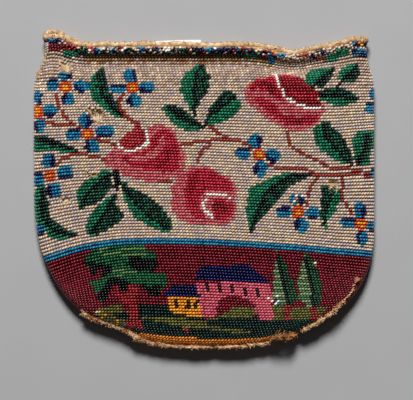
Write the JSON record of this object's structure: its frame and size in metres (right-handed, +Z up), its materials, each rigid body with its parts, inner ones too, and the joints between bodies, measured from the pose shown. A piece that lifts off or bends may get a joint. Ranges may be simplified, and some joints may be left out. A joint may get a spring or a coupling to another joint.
{
  "type": "beaded bag",
  "caption": "Limp knitted bag of small glass beads with flowers above a landscape band, lying on its back with an open rolled mouth and a cloth lining.",
  "frame": {"origin": "middle of the bag's footprint, on the surface it lies on", "axes": "+Z up through the bag from its back to its front, +Y towards the open mouth, +X to the right as seen from above"},
  "size_m": [0.157, 0.1472, 0.0148],
  "materials": {
    "beads": "small glossy opaque glass beads knitted on thread",
    "knitted_silk": "matt cream silk knitting, worn and slightly fuzzy",
    "lining_cloth": "thin matt plain-woven cloth",
    "white_tape": "matt white cotton tape",
    "seam_thread": "frayed and knotted thread",
    "brown_thread": "matted dark brown thread"
  },
  "bodies": {
    "root": {"beaded_cover": "beads", "lining": "lining_cloth", "mouth_edging": "knitted_silk", "white_tape": "white_tape", "seam_fray": "seam_thread", "seam_stitching": "seam_thread", "thread_tuft": "brown_thread"}
  },
  "joints": []
}
